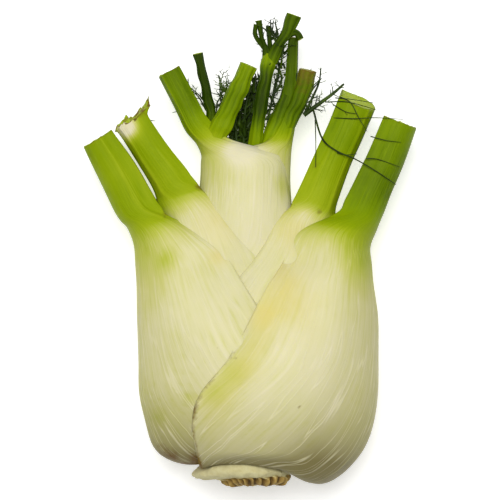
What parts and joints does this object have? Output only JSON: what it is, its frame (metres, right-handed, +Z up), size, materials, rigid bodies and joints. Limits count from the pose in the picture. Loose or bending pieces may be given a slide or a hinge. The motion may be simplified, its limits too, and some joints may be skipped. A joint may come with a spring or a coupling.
{
  "type": "fennel bulb",
  "caption": "Fennel bulb lying on its side: overlapping fleshy leaf sheaths around a short root plate, green stalks cut short, and feathery fronds.",
  "frame": {"origin": "on the surface the bulb lies on, under the middle of its outline", "axes": "+Y from the root to the stalks, +X to the right seen from above with the stalks away from the viewer, +Z up"},
  "size_m": [0.1325, 0.1902, 0.0665],
  "materials": {
    "root": "dry, corky cut root plate",
    "pale_leaf": "waxy, finely ribbed flesh, cream at the base and green at the stalk",
    "green_leaf": "waxy, finely ribbed green stalk",
    "frond": "soft dark green threads"
  },
  "bodies": {
    "root": {"root_plate": "root", "outer_right_leaf": "pale_leaf", "outer_left_leaf": "pale_leaf", "second_right_leaf": "pale_leaf", "second_left_leaf": "pale_leaf", "inner_left_leaf": "pale_leaf", "inner_right_leaf": "pale_leaf", "heart_leaf": "green_leaf", "heart_frond": "frond", "left_frond": "frond", "side_frond": "frond", "trailing_frond": "frond"}
  },
  "joints": []
}
